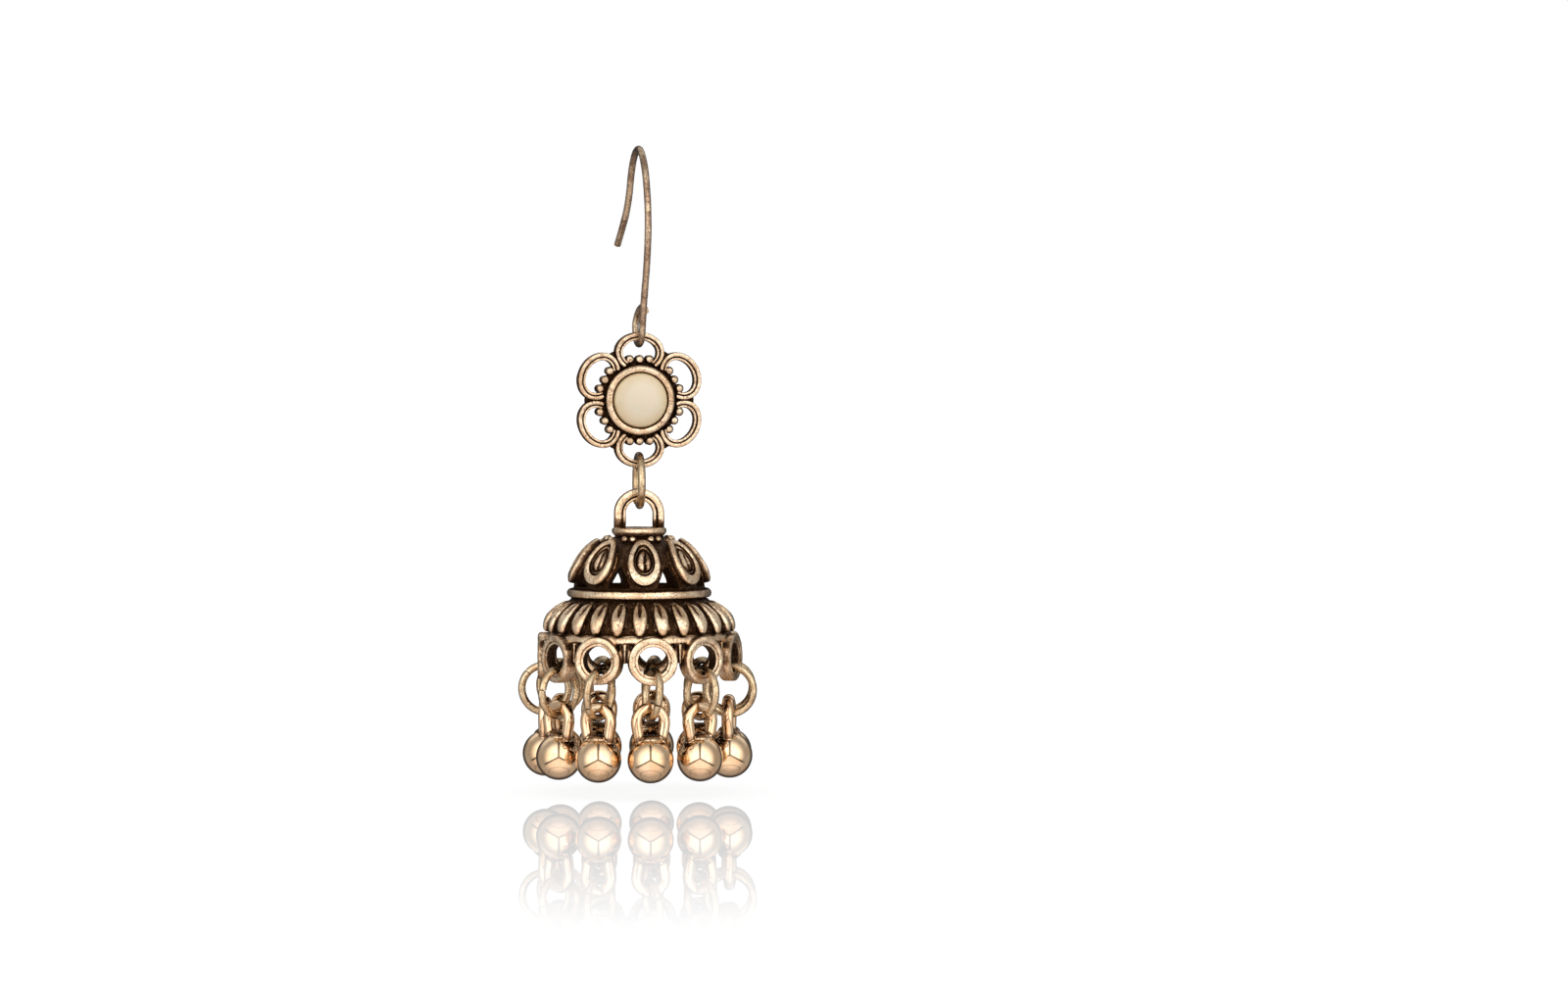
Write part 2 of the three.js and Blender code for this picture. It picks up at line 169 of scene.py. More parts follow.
# Heights of the flower and of the balls' lowest point from the frame, and those that follow
FLOWER_Z = sum(corner.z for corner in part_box("flower_connector")) / 2 / MM
EAR_LOOP_Z = FLOWER_Z + PETAL_TIP - BAND_FACE - HANG_GAP + EAR_LOOP_RADIUS - WIRE / 2
LINK_Z = FLOWER_Z - PETAL_TIP + BAND_FACE + HANG_GAP - LINK_RADIUS + LINK_WIRE / 2
BELL_Z = LINK_Z - LINK_RADIUS + LINK_WIRE / 2 + HANG_GAP + BAIL_WIRE
STRAND_TOP = EYELET_Z - EYELET_HALF_TALL + EYELET_FACE / 2
RING_Z = BELL_Z + STRAND_TOP + HANG_GAP - RING_RADIUS + RING_WIRE / 2
BALL_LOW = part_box("ball_drop_01")[0].z / MM


# Node trees

class Value:
    """A socket of a node tree. Sums with numbers and other values add Math nodes."""

    def __init__(self, graph, socket):
        self.graph = graph
        self.socket = socket

    def other(self, name):
        return Value(self.graph, self.socket.node.outputs[name])

    def __add__(self, other):
        return self.graph.maths("ADD", self, other)

    def __sub__(self, other):
        return self.graph.maths("SUBTRACT", self, other)

    def __rsub__(self, other):
        return self.graph.maths("SUBTRACT", other, self)

    def __mul__(self, other):
        return self.graph.maths("MULTIPLY", self, other)

    def __truediv__(self, other):
        return self.graph.maths("DIVIDE", self, other)

    def __rtruediv__(self, other):
        return self.graph.maths("DIVIDE", other, self)

    def __neg__(self):
        return self * -1

    def __abs__(self):
        return self.graph.maths("ABSOLUTE", self, 0)

    __radd__ = __add__
    __rmul__ = __mul__


def input_of(node, name):
    """A node's input, by its number or by its name among those in use."""
    if isinstance(name, int):
        return node.inputs[name]
    return next(socket for socket in node.inputs if socket.enabled and socket.name == name)


class Graph:
    """A node tree that grows by one method."""

    def __init__(self, tree):
        self.tree = tree

    def add(self, kind, settings=None, inputs=None):
        node = self.tree.nodes.new(kind)
        for name, value in (settings or {}).items():
            setattr(node, name, value)
        for name, value in (inputs or {}).items():
            socket = input_of(node, name)
            for item in value if isinstance(value, list) else [value]:
                if isinstance(item, Value):
                    self.tree.links.new(item.socket, socket)
                else:
                    socket.default_value = item
        shown = [socket for socket in node.outputs if socket.enabled]
        return Value(self, shown[0]) if shown else node

    def maths(self, operation, first, second):
        return self.add("ShaderNodeMath", {"operation": operation}, {0: first, 1: second})

    def vector(self, operation, first, second):
        return self.add("ShaderNodeVectorMath", {"operation": operation}, {0: first, 1: second})

    def scaled(self, vector, by):
        return self.add("ShaderNodeVectorMath", {"operation": "SCALE"}, {0: vector, "Scale": by})

    def dot(self, vector, direction):
        return self.vector("DOT_PRODUCT", vector, direction).other("Value")

    def length(self, vector):
        return self.add("ShaderNodeVectorMath", {"operation": "LENGTH"}, {0: vector}).other("Value")

    def place(self):
        """The place on a piece, in millimetres."""
        return self.scaled(self.add("ShaderNodeTexCoord").other("Object"), 1 / MM)

    def attribute(self, name):
        """What a mesh says of a point under this name."""
        return self.add("ShaderNodeAttribute", {"attribute_name": name}).other("Fac")

    def between(self, value, low, high):
        """0 below low, 1 above high, and a smooth step between them."""
        limits = {"Value": value, "From Min": low, "From Max": high}
        return self.add("ShaderNodeMapRange", {"interpolation_type": "SMOOTHSTEP"}, limits)

    def noise(self, place, scale, detail=2.0, roughness=0.5, seed=0.0):
        sockets = {
            "Vector": place,
            "W": seed,
            "Scale": scale,
            "Detail": detail,
            "Roughness": roughness,
        }
        return self.add("ShaderNodeTexNoise", {"noise_dimensions": "4D"}, sockets)

    def mixed(self, share, first, second):
        """A colour between two, by a share."""
        colours = {"Factor": share, "A": first, "B": second}
        return self.add("ShaderNodeMix", {"data_type": "RGBA"}, colours)


def emptied(holder):
    """The node tree of a material or a world, with nothing in it yet."""
    holder.use_nodes = True
    graph = Graph(holder.node_tree)
    graph.tree.nodes.clear()
    return graph


def new_tree(name, sizes):
    """An empty geometry tree with named inputs: its graph, and its inputs as values."""
    tree = bpy.data.node_groups.new(name, "GeometryNodeTree")
    kinds = {float: "NodeSocketFloat", int: "NodeSocketInt"}
    tree.interface.new_socket("Geometry", in_out="INPUT", socket_type="NodeSocketGeometry")
    for label, size in sizes.items():
        made = tree.interface.new_socket(label, in_out="INPUT", socket_type=kinds[type(size)])
        made.default_value = size
    tree.interface.new_socket("Material", in_out="INPUT", socket_type="NodeSocketMaterial")
    tree.interface.new_socket("Geometry", in_out="OUTPUT", socket_type="NodeSocketGeometry")
    graph = Graph(tree)
    start = tree.nodes.new("NodeGroupInput")
    return graph, {socket.name: Value(graph, socket) for socket in start.outputs if socket.name}


def end_tree(graph, geometry, given):
    whole = graph.add("GeometryNodeRealizeInstances", inputs={"Geometry": geometry})
    dressing = {"Geometry": whole, "Material": given["Material"]}
    dressed = graph.add("GeometryNodeSetMaterial", inputs=dressing)
    graph.add("NodeGroupOutput", inputs={0: dressed})
    return graph.tree


def band_tree():
    """A band or wire along the edges of a path. Face is its width in the path's plane."""
    sizes = {"Face": 1.0, "Depth": 1.0, "Rounding": 0.3, "Pitch": 0.2, "Corner steps": 3}
    graph, given = new_tree("band along a path", sizes)
    line = graph.add("GeometryNodeMeshToCurve", inputs={"Mesh": given["Geometry"]})
    even = {"Curve": line, "Length": given["Pitch"]}
    line = graph.add("GeometryNodeResampleCurve", {"mode": "LENGTH"}, even)
    flat = {"Width": given["Face"], "Height": given["Depth"]}
    section = graph.add("GeometryNodeCurvePrimitiveQuadrilateral", inputs=flat)
    corners = {"Curve": section, "Radius": given["Rounding"], "Count": given["Corner steps"]}
    section = graph.add("GeometryNodeFilletCurve", {"mode": "POLY"}, corners)
    sweep = {"Curve": line, "Profile Curve": section, "Fill Caps": True}
    return end_tree(graph, graph.add("GeometryNodeCurveToMesh", inputs=sweep), given)


def copies_tree():
    """Copies of a part round the Z axis."""
    graph, given = new_tree("copies round the axis", {"Count": 8, "First turn": 0.0})
    index = graph.add("GeometryNodeInputIndex")
    turn = (index * 360 / given["Count"] + given["First turn"]) * math.radians(1)
    euler = graph.add("ShaderNodeCombineXYZ", inputs={"Z": turn})
    rotation = graph.add("FunctionNodeEulerToRotation", inputs={"Euler": euler})
    points = graph.add("GeometryNodePoints", inputs={"Count": given["Count"]})
    placing = {"Points": points, "Instance": given["Geometry"], "Rotation": rotation}
    return end_tree(graph, graph.add("GeometryNodeInstanceOnPoints", inputs=placing), given)


# Rays that look from each point for what shelters it, and how far they reach
RAYS = 24
RAY_START = 0.02
RAY_REACH = 12.0
GOLDEN_ANGLE = math.pi * (3 - math.sqrt(5))


def ray_directions():
    """Directions spread evenly over a sphere."""
    for i in range(RAYS):
        z = 1 - (2 * i + 1) / RAYS
        flat = math.sqrt(1 - z * z)
        yield (flat * math.cos(i * GOLDEN_ANGLE), flat * math.sin(i * GOLDEN_ANGLE), z)


def skin_tree():
    """Waves and grain of a hand-finished cast, and how recessed and sheltered each point lies."""
    sizes = {"Wave": 0.03, "Wave length": 1.6, "Grain": 0.01, "Seed": 0.0, "Near": 0.9}
    graph, given = new_tree("cast skin", sizes)
    place = graph.add("GeometryNodeInputPosition")
    normal = graph.add("GeometryNodeInputNormal")
    slow = graph.noise(place, 1 / given["Wave length"], seed=given["Seed"])
    fine = graph.noise(place, 6 / given["Wave length"], seed=given["Seed"])
    lift = (slow - 0.5) * given["Wave"] * 2 + (fine - 0.5) * given["Grain"] * 2
    lifted = {"Geometry": given["Geometry"], "Offset": graph.scaled(normal, lift)}
    cast = graph.add("GeometryNodeSetPosition", inputs=lifted)
    start = graph.vector("ADD", place, graph.scaled(normal, RAY_START))
    recess = 0
    shelter = 0
    for direction in ray_directions():
        way = {
            "Target Geometry": cast,
            "Source Position": start,
            "Ray Direction": graph.vector("ADD", normal, direction),
            "Ray Length": RAY_REACH,
        }
        hit = graph.add("GeometryNodeRaycast", inputs=way)
        far = hit.other("Hit Distance")
        close = graph.maths("MAXIMUM", 1 - far / given["Near"], 0)
        recess = recess + hit * close
        shelter = shelter + hit
    for name, total in (("recess", recess), ("shelter", shelter)):
        sharp = {"Value": total / RAYS, "Iterations": 1}
        soft = graph.add("GeometryNodeBlurAttribute", inputs=sharp)
        stored = {"Geometry": cast, "Name": name, "Value": soft}
        cast = graph.add("GeometryNodeStoreNamedAttribute", inputs=stored)
    return end_tree(graph, cast, given)


BAND = band_tree()
COPIES = copies_tree()
SKIN = skin_tree()


# Meshes

def thing(mesh):
    made = bpy.data.objects.new("work", mesh)
    bpy.context.scene.collection.objects.link(made)
    return made


def taken(made):
    """The evaluated mesh of a working object, which is removed."""
    depsgraph = bpy.context.evaluated_depsgraph_get()
    mesh = bpy.data.meshes.new_from_object(made.evaluated_get(depsgraph))
    bpy.data.objects.remove(made)
    return mesh


def grown(mesh, tree, sizes, material=None):
    """What a geometry tree makes of a mesh."""
    made = thing(mesh)
    modifier = made.modifiers.new("growing", "NODES")
    modifier.node_group = tree
    for item in tree.interface.items_tree:
        if item.in_out == "INPUT" and item.name in sizes:
            modifier[item.identifier] = sizes[item.name]
        if item.in_out == "INPUT" and item.name == "Material":
            modifier[item.identifier] = material
    return taken(made)


def fused(first, *others, cut=()):
    """One closed body of several, less what is cut away."""
    base = thing(first)
    tools = []
    for operation, group in (("UNION", others), ("DIFFERENCE", cut)):
        for mesh in group:
            tools.append(thing(mesh))
            step = base.modifiers.new(operation, "BOOLEAN")
            step.operation = operation
            step.solver = "MANIFOLD"
            step.object = tools[-1]
    mesh = taken(base)
    for tool in tools:
        bpy.data.objects.remove(tool)
    return mesh


def solid(points, faces, stains=None):
    """A closed mesh whose faces are turned outwards, with how dark each point was left."""
    mesh = bpy.data.meshes.new("part")
    mesh.from_pydata([tuple(point) for point in points], [], faces)
    if stains:
        mesh.attributes.new("ground", "FLOAT", "POINT").data.foreach_set("value", stains)
    work = bmesh.new()
    work.from_mesh(mesh)
    bmesh.ops.remove_doubles(work, verts=work.verts, dist=1e-4)
    bmesh.ops.recalc_face_normals(work, faces=work.faces)
    work.to_mesh(mesh)
    work.free()
    return mesh


def with_patina_and_shade(mesh, rule):
    """Marks how dark a part is coloured, for patina and in a few places painted shade: a share, or
    a rule that gives it for a point.
    """
    marks = mesh.attributes.get("ground") or mesh.attributes.new("ground", "FLOAT", "POINT")
    shares = [rule(vertex.co) if callable(rule) else rule for vertex in mesh.vertices]
    marks.data.foreach_set("value", shares)
    return mesh


def ramp(value, low, high):
    """0 at low, 1 at high, and straight between them."""
    return min(max((value - low) / (high - low), 0), 1)


def placed(mesh, *steps):
    """A copy of a mesh moved by matrices, the first one first."""
    copy = mesh.copy()
    for step in steps:
        copy.transform(step)
    return copy


def about(axis, angle):
    return Matrix.Rotation(math.radians(angle), 4, axis)


def moved(x, y, z):
    return Matrix.Translation((x, y, z))


def through(rows, steps):
    """A smooth line through points."""
    points = [Vector(row) for row in rows]
    ends = [2 * points[0] - points[1], *points, 2 * points[-1] - points[-2]]
    line = []
    for a, b, c, d in zip(ends, ends[1:], ends[2:], ends[3:]):
        for i in range(steps):
            t = i / steps
            bend = (2 * a - 5 * b + 4 * c - d) * t * t + (3 * b - a - 3 * c + d) * t ** 3
            line.append((2 * b + (c - a) * t + bend) / 2)
    line.append(points[-1])
    return line


def turned(rows, sides):
    """A solid turned about Z. Its rows (r, z) run from axis to axis, or close on themselves."""
    points = []
    for r, z in rows:
        for i in range(sides):
            turn = 2 * math.pi * i / sides
            points.append((r * math.sin(turn), -r * math.cos(turn), z))
    faces = []
    pairs = list(zip(range(len(rows)), range(1, len(rows))))
    if rows[0][0] > 0:
        pairs.append((len(rows) - 1, 0))
    for low, high in pairs:
        for i in range(sides):
            j = (i + 1) % sides
            faces.append((low * sides + i, low * sides + j, high * sides + j, high * sides + i))
    return solid(points, faces)


def edges_along(points, closed):
    """A line of edges for a band to follow."""
    count = len(points)
    mesh = bpy.data.meshes.new("line")
    last = count if closed else count - 1
    edges = [(i, (i + 1) % count) for i in range(last)]
    mesh.from_pydata([(*point, 0)[:3] for point in points], edges, [])
    return mesh


def band(points, face, depth, rounding, closed=False, pitch=0.2, corner_steps=3):
    sizes = {
        "Face": face,
        "Depth": depth,
        "Rounding": rounding,
        "Pitch": pitch,
        "Corner steps": corner_steps,
    }
    return grown(edges_along(points, closed), BAND, sizes)


def wire(points, thick, pitch):
    """A band whose corners are rounded so far that it is as good as round."""
    corner_steps = WIRE_SIDES // 4 - 1
    return band(points, thick, thick, thick / 2 * 0.98, pitch=pitch, corner_steps=corner_steps)


def worn_face(z, depth, rounding, behind):
    """Bright on the front of a band, dark on its walls, and left a little dark behind."""
    if z < 0:
        return behind + (1 - behind) * ramp(depth / 2 + z, rounding * 0.4, rounding)
    return ramp(depth / 2 - z, rounding * 0.05, rounding * 0.45)


def copies(mesh, count, first):
    """Copies of a part round the Z axis, the first one turned by so many degrees."""
    return grown(mesh, COPIES, {"Count": count, "First turn": float(first)})


def oval(half_wide, half_tall, start=0, sweep=360, middle=(0, 0), steps=72):
    """Points on an ellipse, in degrees from its right-hand end."""
    points = []
    count = steps if sweep == 360 else steps + 1
    for i in range(count):
        turn = math.radians(start + sweep * i / steps)
        x = middle[0] + half_wide * math.cos(turn)
        y = middle[1] + half_tall * math.sin(turn)
        points.append((x, y))
    return points


# Reliefs laid on a wall

class Wall:
    """An outline (r, z) that reliefs are laid on, from its top down."""

    def __init__(self, rows):
        self.line = through(rows, 12)
        steps = [(b - a).length for a, b in zip(self.line, self.line[1:])]
        self.reach = [sum(steps[:i]) for i in range(len(self.line))]

    def lay(self, x, y, z):
        """x runs along the rim, y up the wall from its foot and z out of it."""
        down = min(max(self.reach[-1] - y, 0), self.reach[-1] - 1e-6)
        i = max(k for k, reach in enumerate(self.reach) if reach <= down)
        a, b = self.line[i], self.line[i + 1]
        way = (b - a).normalized()
        on = a + way * (down - self.reach[i])
        return (x, -(on.x - way.y * z), on.y + way.x * z)


# How much fuller than its bare curve a drop is, and how dark a millimetre of carving makes it
DROP_FULL = 1.08
CARVED_DARK = 1.6


def drop_outline(long, wide, sides, point=0.35):
    """A pointed drop, its blunt end down, from 0 to long."""
    points = []
    for i in range(sides):
        turn = 2 * math.pi * i / sides
        down = (1 - math.cos(turn)) / 2
        swell = math.sin(turn) * math.sqrt(point + (1 - point) * down)
        points.append((wide / 2 * swell * DROP_FULL, long * (1 - down)))
    return points


def relief(outline, middle, rows, sunk, wall, foot, carve):
    """A boss on a wall. A row gives its share of the way out at the top and at the foot, its height
    and how dark it was left. Carve gives how deep it is hollowed at a place."""
    top = max(y for x, y in outline)
    points = []
    stains = []
    shares = [(rows[0][0], rows[0][1], -sunk, 1), *rows]
    for upper, lower, high, stain in shares:
        for x, y in outline:
            share = lower + (upper - lower) * y / top
            px, py = x * share, middle + (y - middle) * share
            cut = carve(px, py) if high > 0 else 0
            points.append(wall.lay(px, py + foot, high - cut))
            stains.append(min(stain + cut * CARVED_DARK, 1))
    count = len(outline)
    faces = [tuple(range(count))]
    for row in range(len(shares) - 1):
        for i in range(count):
            j = (i + 1) % count
            a = row * count
            faces.append((a + i, a + j, a + count + j, a + count + i))
    return solid(points, faces, stains)


# Materials

# How much shelter, and what was marked dark (patina, and painted shade in a few places), add to how
# deep a point seems to lie
SHELTER_SHARE = 0.16
GROUND_SHARE = 0.38
# From where the grime starts: how much deeper it is brown, begins to be black, and is black
BROWN_DEEPER = 0.16
BLACK_START = 0.1
BLACK_DEEPER = 0.3
METAL_BUMP = 0.12
RESIN_BUMP = 0.05


def metal(name, tones, grime_start, speckle, smooth, bump, seed):
    """Antiqued gold: bright on what stands out, brown and nearly black where it lies deep. A
    higher speckle leaves fewer spots, and smooth is the roughness of a clean place."""
    material = bpy.data.materials.new(name)
    graph = emptied(material)
    place = graph.place()
    recess = graph.attribute("recess")
    shelter = graph.attribute("shelter")
    ground = graph.attribute("ground")
    cloud = graph.noise(place, 0.55, 3.0, 0.6, seed)
    patch = graph.noise(place, 1.7, 4.0, 0.65, seed + 1)
    grain = graph.noise(place, 7.0, 3.0, 0.6, seed + 2)
    deep = recess + shelter * SHELTER_SHARE + ground * GROUND_SHARE
    deep = deep + (patch - 0.5) * 0.42 + (grain - 0.5) * 0.2
    stain = graph.between(deep, grime_start, grime_start + BROWN_DEEPER)
    flecks = graph.between(grain + (patch - 0.5) * 0.6, 0.56, 0.66)
    stain = stain * (1 - flecks * 0.3)
    black = graph.between(deep, grime_start + BLACK_START, grime_start + BLACK_DEEPER)
    black = black * (1 - flecks * 0.55)
    upright = graph.vector("MULTIPLY", place, (5.0, 5.0, 1.3))
    scratches = graph.noise(upright, 1.2, 2.0, 0.6, seed + 3)
    streaks = graph.between(scratches, 0.58, 0.68)
    spots = graph.between(grain + (patch - 0.5) * 0.5, speckle, speckle + 0.1)
    tone = graph.mixed(graph.between(cloud, 0.42, 0.62), tones["light"], tones["warm"])
    tone = graph.mixed(graph.between(patch, 0.55, 0.72) * 0.7, tone, tones["rosy"])
    tone = graph.mixed(spots * 0.85, tone, tones["brown"])
    tone = graph.mixed(streaks * bump, tone, tones["brown"])
    tone = graph.mixed(stain * 0.9, tone, tones["brown"])
    tone = graph.mixed(black, tone, tones["black"])
    rough = smooth + (patch - 0.5) * 0.12 + spots * 0.12
    rough = rough + stain * 0.14 + black * 0.14 + ground * 0.1
    height = patch * 0.8 + grain * 0.5 + scratches * 0.25 - spots * 0.3
    height = height + (cloud + patch) * ground
    bumpy = {"Strength": bump, "Distance": METAL_BUMP * MM, "Height": height}
    bumps = graph.add("ShaderNodeBump", inputs=bumpy)
    surface = {
        "Base Color": tone,
        "Metallic": 1.0,
        "Roughness": rough,
        "Normal": bumps,
    }
    shader = graph.add("ShaderNodeBsdfPrincipled", inputs=surface)
    graph.add("ShaderNodeOutputMaterial", inputs={"Surface": shader})
    return material


CAST_TONES = {
    "light": (0.86, 0.67, 0.46, 1),
    "warm": (0.69, 0.48, 0.3, 1),
    "rosy": (0.46, 0.28, 0.18, 1),
    "brown": (0.175, 0.083, 0.037, 1),
    "black": (0.029, 0.012, 0.0044, 1),
}
FLOWER_TONES = {**CAST_TONES, "light": (0.72, 0.56, 0.39, 1), "warm": (0.57, 0.4, 0.25, 1)}
BALL_TONES = {
    "light": (0.81, 0.59, 0.38, 1),
    "warm": (0.73, 0.49, 0.29, 1),
    "rosy": (0.62, 0.39, 0.23, 1),
    "brown": (0.17, 0.08, 0.035, 1),
    "black": (0.02, 0.009, 0.004, 1),
}
RING_TONES = {
    "light": (0.6, 0.46, 0.29, 1),
    "warm": (0.42, 0.28, 0.155, 1),
    "rosy": (0.28, 0.155, 0.08, 1),
    "brown": (0.15, 0.07, 0.032, 1),
    "black": (0.018, 0.008, 0.003, 1),
}
WIRE_TONES = {
    "light": (0.52, 0.39, 0.26, 1),
    "warm": (0.36, 0.24, 0.16, 1),
    "rosy": (0.25, 0.145, 0.1, 1),
    "brown": (0.1, 0.053, 0.03, 1),
    "black": (0.02, 0.01, 0.005, 1),
}
CAST_GOLD = metal("antiqued cast gold", CAST_TONES,
                  grime_start=0.19, speckle=0.57, smooth=0.2, bump=0.6, seed=1.0)
FLOWER_GOLD = metal("antiqued flower gold", FLOWER_TONES,
                    grime_start=0.175, speckle=0.56, smooth=0.2, bump=0.6, seed=2.0)
BALL_GOLD = metal("polished ball gold", BALL_TONES,
                  grime_start=0.26, speckle=0.64, smooth=0.08, bump=0.04, seed=5.0)
RING_GOLD = metal("ring wire gold", RING_TONES,
                  grime_start=0.2, speckle=0.58, smooth=0.16, bump=0.4, seed=9.0)
WIRE_GOLD = metal("tarnished ear wire", WIRE_TONES,
                  grime_start=0.2, speckle=0.52, smooth=0.2, bump=0.45, seed=13.0)


# The stone's cream; a darker, yellower tone that paints shade on the dome towards its rim along
# with some yellowing; and a painted shadow line where it meets the bezel
CREAM_TONE = (0.505, 0.428, 0.318, 1)
SHADED_YELLOW_TONE = (0.455, 0.35, 0.208, 1)
STONE_RIM_SHADOW_TONE = (0.3, 0.19, 0.08, 1)


def cream_resin():
    """A cream cabochon, darker and yellower towards its rim: painted shade where the dome turns
    away, along with a yellower tone, and a dark painted shadow line right at the rim.
    """
    material = bpy.data.materials.new("cream resin")
    graph = emptied(material)
    place = graph.place()
    flat = graph.vector("MULTIPLY", graph.vector("SUBTRACT", place, (0, 0, FLOWER_Z)), (1, 0, 1))
    out = graph.length(flat)
    cloud = graph.noise(place, 0.7, 3.0, 0.6, 21.0)
    # Painted shade: darker and yellower towards the rim
    shade_and_yellowing = graph.between(out / STONE_RADIUS + (cloud - 0.5) * 0.3, 0.45, 1.05)
    tone = graph.mixed(shade_and_yellowing, CREAM_TONE, SHADED_YELLOW_TONE)
    # A dark painted shadow line where the stone meets the bezel
    tone = graph.mixed(graph.between(out / STONE_RADIUS, 0.93, 1.0), tone, STONE_RIM_SHADOW_TONE)
    haze = graph.noise(place, 5.0, 3.0, 0.6, 22.0)
    bumpy = {"Strength": 0.1, "Distance": RESIN_BUMP * MM, "Height": haze}
    bumps = graph.add("ShaderNodeBump", inputs=bumpy)
    surface = {
        "Base Color": tone,
        "Roughness": 0.3 + (cloud - 0.5) * 0.15,
        "Normal": bumps,
        "Subsurface Weight": 0.15,
        "Subsurface Scale": 1 * MM,
    }
    shader = graph.add("ShaderNodeBsdfPrincipled", inputs=surface)
    graph.add("ShaderNodeOutputMaterial", inputs={"Surface": shader})
    return material


CREAM = cream_resin()


# Finishing

def skinned(mesh, material, wave, length, grain, seed=0.0, near=0.9):
    """A part with its waves and grain, which says how recessed and sheltered its points are."""
    sizes = {
        "Wave": wave,
        "Wave length": length,
        "Grain": grain,
        "Seed": seed,
        "Near": near,
    }
    return grown(mesh, SKIN, {key: float(value) for key, value in sizes.items()}, material)


def finished(name, mesh, body, node):
    """Turns a mesh into the piece that stands for a node, in metres."""
    mesh.transform(Matrix.Scale(MM, 4))
    mesh.shade_smooth()
    mesh.set_sharp_from_angle(angle=math.radians(SHARP_ANGLE))
    made = thing(mesh)
    evener = made.modifiers.new("even shading", "WEIGHTED_NORMAL")
    evener.keep_sharp = True
    piece = thing(taken(made))
    piece.name = name
    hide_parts(node)
    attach(piece, body)
    return piece


# Ear wire

def make_ear_wire():
    points = [(row["x"], row["y"], row["z"]) for row in WIRE_BEND]
    turn = EAR_LOOP_FROM
    while turn <= EAR_LOOP_TO:
        y = EAR_LOOP_RADIUS * math.sin(math.radians(turn))
        z = EAR_LOOP_Z - EAR_LOOP_RADIUS * math.cos(math.radians(turn))
        aside = EAR_END["x"] * max(0, (turn - 90) / (EAR_LOOP_TO - 90))
        points.append((aside, y, z))
        turn += EAR_LOOP_STEP
    points.append((EAR_END["x"], EAR_END["y"], EAR_END["z"]))
    mesh = wire(through(points, 8), WIRE, pitch=0.15)
    mesh = skinned(mesh, WIRE_GOLD, wave=0.03, length=2.2, grain=0.012, seed=3, near=0.6)
    finished("ear_wire_bent", mesh, "ear_wire", "ear_wire")


# Flower

def make_flower():
    half_tall = PETAL_TIP - BAND_FACE / 2 - PETAL_CENTRE
    sweep = 360 - PETAL_OPEN
    start = 90 - sweep / 2

    def petal_band(inset, face, depth, rounding):
        line = oval(PETAL_HALF_WIDE - inset, half_tall - inset, start, sweep, (0, PETAL_CENTRE))
        made = band(line, face, depth, rounding, pitch=0.12)
        return with_patina_and_shade(made, lambda p: worn_face(p.z, depth, rounding, 0.35))

    outer = petal_band(inset=-0.12, face=0.47, depth=BAND_DEPTH, rounding=0.22)
    inner = petal_band(inset=0.27, face=0.3, depth=BAND_DEPTH - 0.24, rounding=0.14)
    core = with_patina_and_shade(petal_band(inset=0.06, face=0.6, depth=BAND_DEPTH - 0.6, rounding=0.1), 1)
    bead_rows = [(0, 0.5), (0.24, 0.46), (0.4, 0.28), (BEAD_RADIUS, 0.02)]
    bead_rows += [(0.44, -0.3), (0.42, -1), (0, -1)]
    bead = placed(turned(bead_rows, 16), moved(0, 0, BEAD_DEPTH / 2 - BEAD_RADIUS))
    with_patina_and_shade(bead, lambda p: 1 - ramp(p.z, 0.2, 0.45))
    back = BAND_DEPTH / 2
    cup_rows = [
        (0, SEAT_FRONT),
        (BEZEL_INNER, SEAT_FRONT),
        (BEZEL_INNER, BEZEL_FRONT + 0.3),
        (BEZEL_INNER + 0.08, BEZEL_FRONT + 0.1),
        (BEZEL_INNER + 0.24, BEZEL_FRONT + 0.01),
        (BEZEL_OUTER - 0.28, BEZEL_FRONT),
        (BEZEL_OUTER - 0.1, BEZEL_FRONT + 0.1),
        (BEZEL_OUTER, BEZEL_FRONT + 0.32),
        (BEZEL_OUTER, PLATE_FRONT - 0.1),
        (BEZEL_OUTER + 0.1, PLATE_FRONT),
        (PLATE_RADIUS, PLATE_FRONT),
        (PLATE_RADIUS + 0.06, PLATE_FRONT + 0.1),
        (PLATE_RADIUS + 0.06, back - 0.1),
        (PLATE_RADIUS - 0.06, back),
        (0, back),
    ]

    # Dark on the plate and low inside the bezel: patina in the recesses, and painted shade in the
    # gap round the stone along the bezel's inner edge
    def cup_patina_and_shade(p):
        if p.z < -0.6:
            return 0.3
        slope = 1 - ramp(math.hypot(p.x, p.y), BEZEL_INNER + 0.09, BEZEL_INNER + 0.25)
        return max(1 - ramp(p.z, 0.55, 0.8), slope * 0.8)

    cup = with_patina_and_shade(turned([(r, -z) for r, z in cup_rows], 96), cup_patina_and_shade)
    petals = []
    # Neighbouring petals overlap, so every other one is made at once
    for first in (0, 360 / PETALS):
        petals += [copies(part, PETALS // 2, first) for part in (outer, inner, core)]
    beads = []
    for b in range(BEADS):
        one = placed(bead, moved((b - (BEADS - 1) / 2) * BEAD_PITCH, BEAD_REACH, 0))
        beads.append(copies(one, PETALS, 0))
    notch = [(0, NOTCH_START), (0, NOTCH_REACH)]
    filling = band(notch, NOTCH_WIDE, NOTCH_DEEP, NOTCH_ROUNDING)
    filling = with_patina_and_shade(placed(filling, about("Z", 180 / PETALS)), 1)
    mesh = fused(cup, *petals, *beads, copies(filling, PETALS, 0))
    mesh.transform(about("X", 90))
    mesh.transform(moved(0, 0, FLOWER_Z))
    mesh = skinned(mesh, FLOWER_GOLD, wave=0.055, length=1.3, grain=0.018, seed=7, near=1.2)
    finished("flower_cast", mesh, "flower", "flower_connector")


